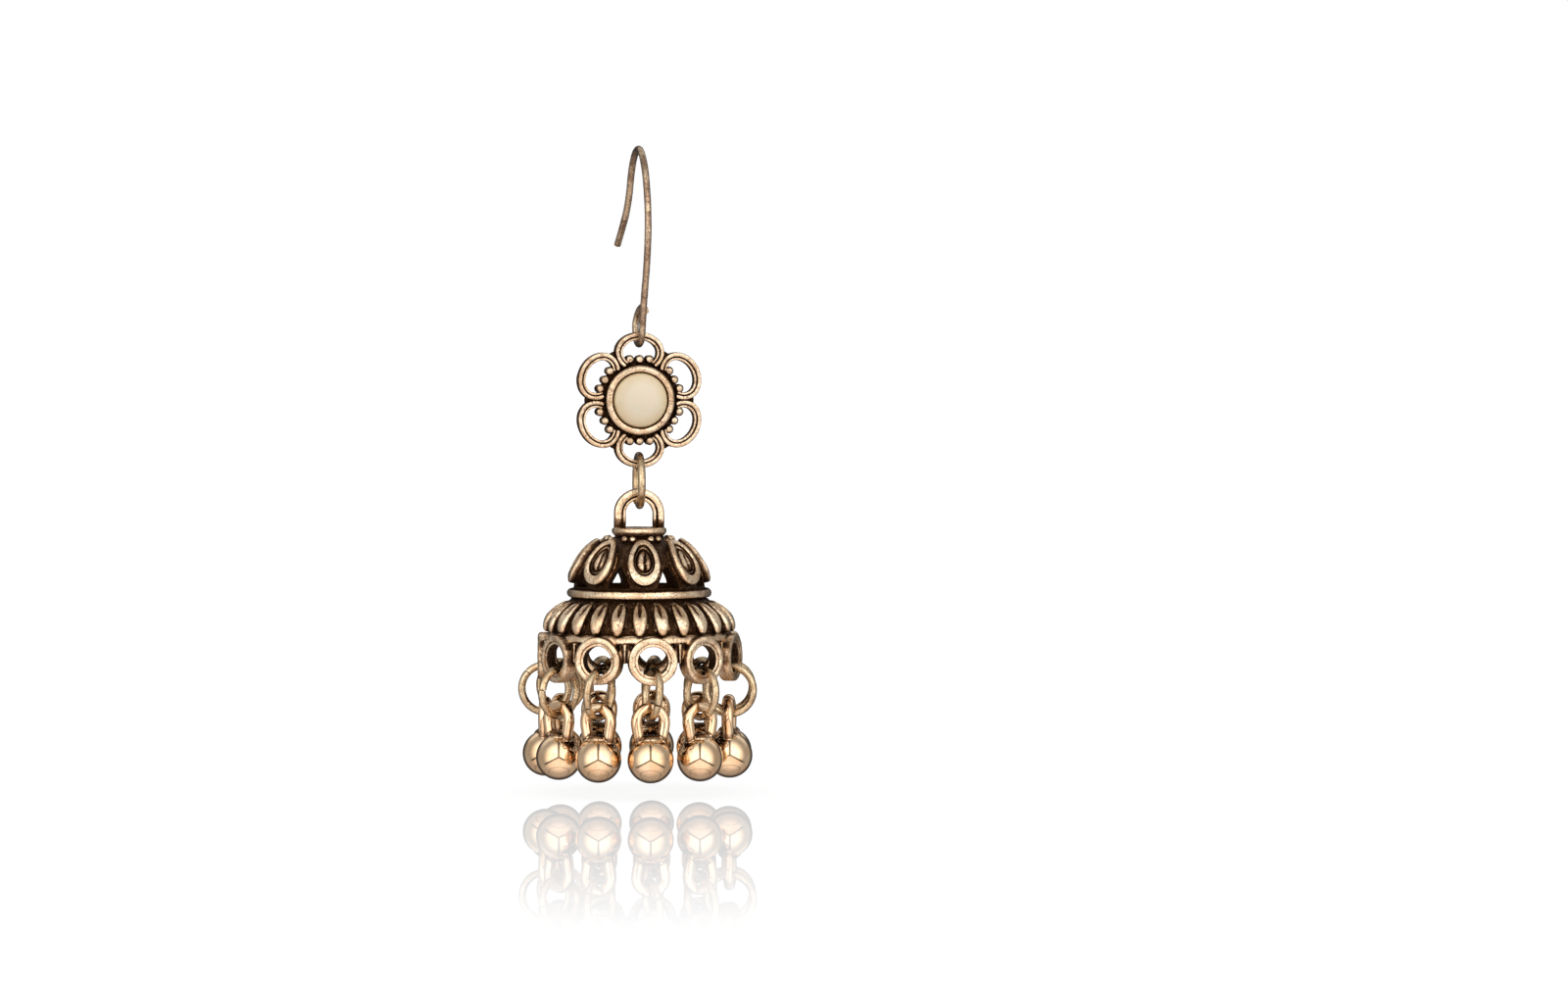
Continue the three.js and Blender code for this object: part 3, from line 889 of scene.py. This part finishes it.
def make_stone():
    dome = []
    rise = STONE_GIRDLE - STONE_FRONT
    steps = 12
    for i in range(steps + 1):
        turn = math.radians(90 * i / steps)
        dome.append((STONE_RADIUS * math.sin(turn), STONE_GIRDLE - rise * math.cos(turn)))
    rows = [*dome, (STONE_RADIUS, STONE_BACK), (0, STONE_BACK)]
    mesh = turned([(r, -z) for r, z in rows], 64)
    mesh.transform(about("X", 90))
    mesh.transform(moved(0, 0, FLOWER_Z))
    mesh = skinned(mesh, CREAM, wave=0.01, length=3, grain=0)
    finished("stone_cabochon", mesh, "flower", "flower_stone")


# Link and rings

RING_STEPS = 60
RING_CUT = 2.4


def split_ring(radius, thick, cut_at, aside):
    """A ring of wire whose two cut ends meet, a little out of line."""
    points = []
    for i in range(RING_STEPS + 1):
        share = i / RING_STEPS
        turn = math.radians(cut_at + RING_CUT / 2 + (360 - RING_CUT) * share)
        points.append((radius * math.cos(turn), radius * math.sin(turn), aside * (share - 0.5)))
    return wire(points, thick, pitch=0.16)


def make_link():
    ring = split_ring(LINK_RADIUS, LINK_WIRE, -62, 0.12)
    mesh = placed(ring, about("X", 90), about("Z", 90 + LINK_TURN), moved(0, 0, LINK_Z))
    mesh = skinned(mesh, RING_GOLD, wave=0.025, length=1.5, grain=0.01, seed=11, near=0.6)
    finished("link_wire", mesh, "link", "link_ring")


# Bell

def bail():
    springing = -BAIL_WIRE / 2 - BAIL_RADIUS
    foot = DISC["top"] - 0.3
    bright_from, bright_to = 1.93, 2.46

    def arch(inset):
        r = BAIL_RADIUS - inset
        return [(r, foot), *oval(r, r, 0, 180, (0, springing), 36), (-r, foot)]

    def foot_stain(p):
        return 0.9 * ramp(springing - p.y, 0.1, 0.9)

    def groove_stain(p):
        r = math.hypot(p.x, max(p.y - springing, 0))
        return max(foot_stain(p), ramp(bright_from - r, 0, 0.12), ramp(r - bright_to, 0, 0.12))

    outer = band(arch(-0.19), 0.8, 1.1, 0.34, pitch=0.14)
    inner = band(arch(0.38), 0.4, 0.82, 0.18, pitch=0.14)
    with_patina_and_shade(outer, groove_stain)
    with_patina_and_shade(inner, lambda p: max(foot_stain(p), 0.3))
    return [placed(part, about("X", 90)) for part in (outer, inner)]


def crown():
    disc = [(2.45, -4.9), (2.62, DISC["low"] - 0.06), (DISC["r"] - 0.04, DISC["low"] + 0.1)]
    disc += [(DISC["r"], -4.3), (DISC["r"] - 0.05, -4.1), (DISC["r"] - 0.2, DISC["top"])]
    disc.append((0, DISC["top"]))
    wall = [tuple(p) for p in through(CROWN_WALL, 8)]
    hollow = [tuple(p) for p in through(CROWN_HOLLOW, 6)]
    shell = turned([*hollow, (6.7, -11.5), *wall[:-1], *disc], BELL_SIDES)
    # A pierced hole, seen from outside as x and z. It widens outwards
    hole = [
        (-PIERCE_WIDE / 2, PIERCE_LOW),
        (PIERCE_WIDE / 2, PIERCE_LOW),
        (PIERCE_WIDE / 2 - 0.02, PIERCE_LOW + 0.3),
        (PIERCE_SHOULDER, (PIERCE_LOW + PIERCE_HIGH) / 2),
        (0.2, PIERCE_HIGH - 0.1),
        (-0.2, PIERCE_HIGH - 0.1),
        (-PIERCE_SHOULDER, (PIERCE_LOW + PIERCE_HIGH) / 2),
        (-PIERCE_WIDE / 2 + 0.02, PIERCE_LOW + 0.3),
    ]
    near = [(x * 0.8, -3.0, z) for x, z in hole]
    away = [(x * 1.15, -RIM_RADIUS, z) for x, z in hole]
    count = len(hole)
    sides = [(i, (i + 1) % count, count + (i + 1) % count, count + i) for i in range(count)]
    ends = [tuple(range(count)), tuple(range(count, 2 * count))]
    cutter = solid([*near, *away], [*ends, *sides])
    holes = copies(cutter, TEARDROPS, TEARDROP_TURN + 180 / TEARDROPS)
    disc_foot = -4.75
    return with_patina_and_shade(fused(shell, cut=[holes]), lambda p: 0 if p.z > disc_foot else 1.1)


def teardrops():
    wall = Wall(list(reversed(CROWN_WALL)))
    rows = [
        (1.0, 1.0, 0.0, 1),
        (0.995, 0.99, 0.45, 0.6),
        (0.97, 0.96, 0.62, 0.05),
        (0.92, 0.87, 0.7, 0),
        (0.83, 0.72, 0.7, 0),
        (0.765, 0.61, 0.6, 0.1),
        (0.735, 0.575, 0.26, 1),
        (0.71, 0.55, 0.2, 1),
        (0.685, 0.53, 0.42, 0.3),
        (0.63, 0.48, 0.46, 0.1),
        (0.6, 0.46, 0.3, 0.8),
        (0.575, 0.44, 0.14, 1),
        (0.55, 0.425, 0.14, 1),
        (0.52, 0.4, 0.34, 0.7),
        (0.44, 0.34, 0.46, 0.45),
        (0.28, 0.22, 0.54, 0.4),
        (0.12, 0.1, 0.56, 0.3),
        (0.0, 0.0, 0.56, 0.3),
    ]

    def vein(x, y):
        return 0.35 * math.exp(-(((x - 0.08) / 0.11) ** 2)) * (abs(y - TEARDROP_MIDDLE) < 0.8)

    outline = drop_outline(TEARDROP_LONG, TEARDROP_WIDE, 64)
    boss = relief(outline, TEARDROP_MIDDLE, rows, TEARDROP_SUNK, wall, TEARDROP_FOOT, vein)
    return copies(boss, TEARDROPS, TEARDROP_TURN)


def neck_grains():
    """Small grains in pairs round the neck, between the teardrops."""
    rows = [(0, 0.42), (0.2, 0.36), (0.32, 0.16), (0.34, -0.3), (0, -0.3)]
    grain = with_patina_and_shade(turned(rows, 14), lambda p: 1 - ramp(p.z, 0.12, 0.3))
    pair = []
    for side in (-1, 1):
        pair.append(placed(grain, about("X", 42), moved(side * 0.42, -3.35, -5.2)))
    return [copies(one, TEARDROPS, TEARDROP_TURN + 180 / TEARDROPS) for one in pair]


def belt():
    middle = (BELT["r"], BELT["z"])
    rows = oval(BELT["half_wide"], BELT["half_tall"], middle=middle, steps=12)
    return with_patina_and_shade(turned(rows, BELL_SIDES), lambda p: ramp(abs(p.z - BELT["z"]), 0.2, 0.4) * 0.9)


def skirt():
    outer = [tuple(p) for p in through(SKIRT_WALL, 6)]
    return with_patina_and_shade(turned([*outer, *SKIRT_HOLLOW], BELL_SIDES), 1)


def ribs():
    wall = Wall(SKIRT_WALL)
    rows = [(1, 1, 0, 1), (0.98, 0.97, 0.3, 0.6), (0.9, 0.88, 0.5, 0), (0.74, 0.72, 0.6, 0)]
    rows += [(0.5, 0.5, 0.64, 0), (0.25, 0.25, 0.66, 0), (0, 0, 0.66, 0)]

    hollow_foot = RIB_LONG * 0.36

    def hollow(x, y):
        upper = ramp(y, hollow_foot, hollow_foot + 0.5)
        return 0.42 * upper * math.exp(-((x / 0.3) ** 2)) + 0.1 * max(0, y / RIB_LONG - 0.45)

    outline = drop_outline(RIB_LONG, RIB_WIDE, 36, 0.3)
    boss = relief(outline, RIB_LONG * RIB_MIDDLE, rows, RIB_SUNK, wall, RIB_FOOT, hollow)
    return copies(boss, RIBS, RIB_TURN)


def rim():
    rows = [(8.25, -15.35), (8.25, -14.5), (9.15, -14.5), (9.3, -14.62), (9.5, -14.85)]
    rows += [(9.6, -15.1), (9.62, -15.35), (9.5, -15.55), (9.3, -15.62)]
    return with_patina_and_shade(turned(rows, BELL_SIDES), lambda p: 0 if math.hypot(p.x, p.y) > 9.2 else 1)


def eyelets():
    """Upright rings under the rim, each a wide band with a narrow one set back inside it."""
    rounding = 0.3
    inner_rounding = 0.16
    inner_depth = EYELET_DEPTH - 0.36
    outer_line = oval(EYELET_HALF_WIDE + 0.12, EYELET_HALF_TALL + 0.12)
    inner_line = oval(EYELET_HALF_WIDE - 0.3, EYELET_HALF_TALL - 0.3)
    outer = band(outer_line, EYELET_FACE - 0.24, EYELET_DEPTH, rounding, closed=True, pitch=0.16)
    inner = band(inner_line, 0.36, inner_depth, inner_rounding, closed=True, pitch=0.16)
    front = EYELET_DEPTH / 2 - rounding

    def outer_stain(p):
        return worn_face(p.z, EYELET_DEPTH, rounding, 0.7) * (0.75 if p.z > front else 0.5)

    def inner_stain(p):
        out = math.hypot(p.x / EYELET_HALF_WIDE, p.y / EYELET_HALF_TALL)
        return max(worn_face(p.z, inner_depth, inner_rounding, 0.9), ramp(out, 0.85, 0.9))

    rings = []
    for part in (with_patina_and_shade(outer, outer_stain), with_patina_and_shade(inner, inner_stain)):
        part = placed(part, about("X", 90), moved(0, -RIM_RADIUS, EYELET_Z))
        rings.append(copies(part, DROPS, DROP_TURN))
    return rings


def webs():
    tall = WEB["top"] - WEB["low"]
    middle = (WEB["top"] + WEB["low"]) / 2
    plate = band([(-WEB["wide"] / 2, 0), (WEB["wide"] / 2, 0)], tall, WEB["deep"], 0.12, pitch=0.25)
    rib = band([(0, -tall / 2), (0, tall / 2)], 0.24, WEB["deep"] + 0.3, 0.11, pitch=0.2)
    made = []
    # The plates are coloured fully dark: patina on the webs, and painted shade standing in for the
    # shade between the eyelets' side walls
    for part in (with_patina_and_shade(plate, 1), with_patina_and_shade(rib, 0.35)):
        part = placed(part, about("X", 90), moved(0, -RIM_RADIUS, middle))
        made.append(copies(part, DROPS, DROP_TURN + 180 / DROPS))
    return made


def make_bell():
    top = fused(crown(), belt(), teardrops(), *neck_grains(), *bail())
    foot = fused(skirt(), ribs(), rim(), *eyelets(), *webs())
    mesh = fused(top, foot)
    mesh.transform(moved(0, 0, BELL_Z))
    mesh = skinned(mesh, CAST_GOLD, wave=0.07, length=1.4, grain=0.02, seed=17, near=0.9)
    finished("bell_cast", mesh, "bell", "bell")


# Ball drops

def ball_drop():
    """A ball with its shank ring, the ring's middle at the origin."""
    reach = SHANK_RADIUS + SHANK_WIRE / 2 + BALL_RADIUS - BALL_SINK
    half = SHANK_RADIUS + 0.12
    foot = BALL_RADIUS - reach - 0.6
    legs = [(half - 0.36, foot), (half - 0.14, -1.1), (half, -0.3)]
    line = [*legs, *oval(half, SHANK_RADIUS + 0.02, 10, 160, steps=12)]
    line = through([*line, *((-x, y) for x, y in reversed(legs))], 4)
    shank = band(line, SHANK_WIRE + 0.08, SHANK_WIRE * 1.1, 0.45, pitch=0.16)
    with_patina_and_shade(shank, lambda p: 0.4 + ramp(foot + 1.1 - p.y, 0, 0.7) * 0.5)
    steps = 48
    rows = []
    for i in range(steps + 1):
        turn = math.pi * i / steps
        r = BALL_RADIUS * math.sin(turn) if 0 < i < steps else 0
        rows.append((r, BALL_RADIUS * math.cos(turn)))
    ball = placed(turned(rows, 72), moved(0, 0, -reach))
    collar_rows = [(0, 0.3), (0.75, 0.3), (0.95, 0.16), (1.12, -0.04), (1.2, -0.3), (0, -0.3)]
    # The collar is coloured fully dark: patina in the joint, and a painted shadow line where the
    # shank meets the ball
    collar = with_patina_and_shade(placed(turned(collar_rows, 32), moved(0, 0, BALL_RADIUS - reach - 0.12)), 1)
    return fused(ball, collar, placed(shank, about("X", 90)))


def make_drops():
    ball = ball_drop()
    # How far the shank's middle hangs below the middle of the ring's wire
    grip = SHANK_RADIUS - SHANK_WIRE / 2 - HANG_GAP - RING_WIRE / 2
    for i, hang in enumerate(DROP_HANG):
        number = str(i + 1).zfill(2)
        arm = [
            about("Z", hang["twist"]),
            moved(0, -RIM_RADIUS, RING_Z),
            about("Z", DROP_TURN + 360 * i / DROPS),
        ]
        ring = split_ring(RING_RADIUS, RING_WIRE, 200 + 37 * i, 0.08)
        ring = placed(ring, about("X", 90), about("Z", 90), about("Y", hang["lean"]), *arm)
        ring = skinned(ring, RING_GOLD, wave=0.025, length=1.5, grain=0.01, seed=30 + i, near=0.6)
        finished("ring_wire_" + number, ring, "bell", "drop_ring_" + number)
        lean = math.radians(hang["lean"])
        foot = moved(-RING_RADIUS * math.sin(lean), 0, -RING_RADIUS * math.cos(lean) - grip)
        drop = placed(ball, foot, *arm)
        drop = skinned(drop, BALL_GOLD, wave=0.008, length=2.5, grain=0, seed=50 + i, near=1.1)
        finished("ball_" + number, drop, "bell", "ball_drop_" + number)


# Floor, light and camera

CAMERA_TURN = -11
CAMERA_DISTANCE = 600
CAMERA_RISE = 21.65
CAMERA_LENS = 135
VIEW_MIDDLE = -34.95
VIEW_ASIDE = 14.8
FLOOR_GAP = 1.7
FLOOR_RADIUS = 3000
FLOOR_THICK = 5
WHITE = (1, 1, 1, 1)
# The floor is polished under the earring, and less and less further out
POLISH = 0.4
POLISH_FROM = 30
POLISH_TO = 170
# The share of the floor's white that is its own glow, so the earring's shade on it stays faint
GLOW = 0.85


def make_camera():
    turn = math.radians(CAMERA_TURN)
    right = Vector((math.cos(turn), math.sin(turn), 0))
    back = Vector((math.sin(turn), -math.cos(turn), 0))
    middle = Vector((0, 0, VIEW_MIDDLE))
    eye = middle + back * CAMERA_DISTANCE + Vector((0, 0, CAMERA_RISE))
    lens = bpy.data.cameras.new("camera")
    lens.lens = CAMERA_LENS
    lens.sensor_width = 36
    lens.clip_start = 0.01
    camera = bpy.data.objects.new("camera", lens)
    bpy.context.scene.collection.objects.link(camera)
    camera.location = eye * MM
    camera.rotation_mode = "QUATERNION"
    camera.rotation_quaternion = (middle + right * VIEW_ASIDE - eye).to_track_quat("-Z", "Y")
    bpy.context.scene.camera = camera


def floor_finish():
    material = bpy.data.materials.new("pale floor")
    graph = emptied(material)
    away = graph.length(graph.vector("MULTIPLY", graph.place(), (1, 1, 0)))
    polish = (1 - graph.between(away, POLISH_FROM, POLISH_TO)) * POLISH
    matt = graph.add("ShaderNodeBsdfDiffuse", inputs={"Color": WHITE})
    gloss = graph.add("ShaderNodeBsdfGlossy", inputs={"Color": WHITE, "Roughness": 0.0})
    glow = graph.add("ShaderNodeEmission", inputs={"Color": WHITE, "Strength": 1.0})
    matt = graph.add("ShaderNodeMixShader", inputs={0: GLOW, 1: matt, 2: glow})
    surface = graph.add("ShaderNodeMixShader", inputs={0: polish, 1: matt, 2: gloss})
    graph.add("ShaderNodeOutputMaterial", inputs={"Surface": surface})
    return material


def make_floor():
    level = BALL_LOW - FLOOR_GAP
    foot = level - FLOOR_THICK
    mesh = turned([(0, level), (FLOOR_RADIUS, level), (FLOOR_RADIUS, foot), (0, foot)], 96)
    mesh.transform(Matrix.Scale(MM, 4))
    mesh.materials.append(floor_finish())
    floor = thing(mesh)
    floor.name = "pale_floor"
    floor.visible_glossy = False
    floor.visible_shadow = False


# The light tent: two wide panels and a lower one meet behind the camera, with narrow dark seams.
# Where it brightens goes by how far a direction points at the camera, from -1 to 1

# How far above the camera the tent's middle lies
TENT_RISE = 26
TENT_DIMMEST = 0.075
BEHIND = (-0.8, -0.42)
UPPER_FRONT = (0.05, 0.97)
LOWER_FRONT = (-0.2, 0.8)
LOWER_TINT = (1, 0.91, 0.88, 1)
SEAM_SLOPE = 0.53
SEAM_WIDE = 0.12
SEAM_DARK = 0.85
SHELF_DROP = 0.8
BACK_TOP = 0.7
# What the tent gives to matt surfaces, over its plain white
MATT_MORE = 0.9


def make_world():
    world = bpy.data.worlds.new("light tent")
    bpy.context.scene.world = world
    graph = emptied(world)
    turn = math.radians(CAMERA_TURN)
    rise = math.atan2(CAMERA_RISE + TENT_RISE, CAMERA_DISTANCE)
    right = (math.cos(turn), math.sin(turn), 0)
    front = (math.sin(turn) * math.cos(rise), -math.cos(turn) * math.cos(rise), math.sin(rise))
    up = (-math.sin(turn) * math.sin(rise), math.cos(turn) * math.sin(rise), math.cos(rise))
    way = graph.add("ShaderNodeTexCoord").other("Generated")
    u = graph.dot(way, right)
    v = graph.dot(way, up)
    w = graph.dot(way, front)
    lower = -v - abs(u) * SEAM_SLOPE
    is_lower = graph.between(lower, -0.01, 0.01)
    upper_seam = 1 - graph.between(abs(u), SEAM_WIDE * 0.5, SEAM_WIDE)
    upper_seam = upper_seam * graph.between(v, 0.0, 0.04)
    lower_seam = 1 - graph.between(abs(lower), SEAM_WIDE * 0.4, SEAM_WIDE * 0.9)
    seams = graph.maths("MAXIMUM", upper_seam, lower_seam)
    panels = TENT_DIMMEST + graph.between(w, *BEHIND) * 0.42
    panels = panels + graph.between(w, *UPPER_FRONT) * 2.0
    below = TENT_DIMMEST + graph.between(w, *BEHIND) * 0.5
    below = below + graph.between(w, *LOWER_FRONT) * 1.0
    mottle = graph.between(graph.noise(way, 26.0, 3.0, 0.6), 0.5, 0.62)
    below = below * (1 - mottle * 0.3)
    shelf_edge = 1 - graph.between(abs(v + SHELF_DROP), 0.015, 0.04)
    below = below * (1 - shelf_edge * 0.35)
    tent = panels + (below - panels) * is_lower
    tent = tent * (1 - seams * SEAM_DARK * graph.between(w, -0.2, 0.3))
    back_top = graph.between(v, 0.3, 0.75) * graph.between(-w, 0.1, 0.6)
    tent = tent + back_top * BACK_TOP
    path_kind = graph.add("ShaderNodeLightPath")
    glossy = path_kind.other("Is Glossy Ray") * (1 - path_kind.other("Is Singular Ray"))
    matt = path_kind.other("Is Diffuse Ray")
    strength = tent * glossy + (1 - glossy) * (1 + matt * MATT_MORE)
    colour = graph.mixed(is_lower * glossy, WHITE, LOWER_TINT)
    light = graph.add("ShaderNodeBackground", inputs={"Color": colour, "Strength": strength})
    graph.add("ShaderNodeOutputWorld", inputs={"Surface": light})


make_camera()
make_ear_wire()
make_flower()
make_stone()
make_link()
make_bell()
make_drops()
make_floor()
make_world()
bpy.context.scene.view_settings.view_transform = "Standard"
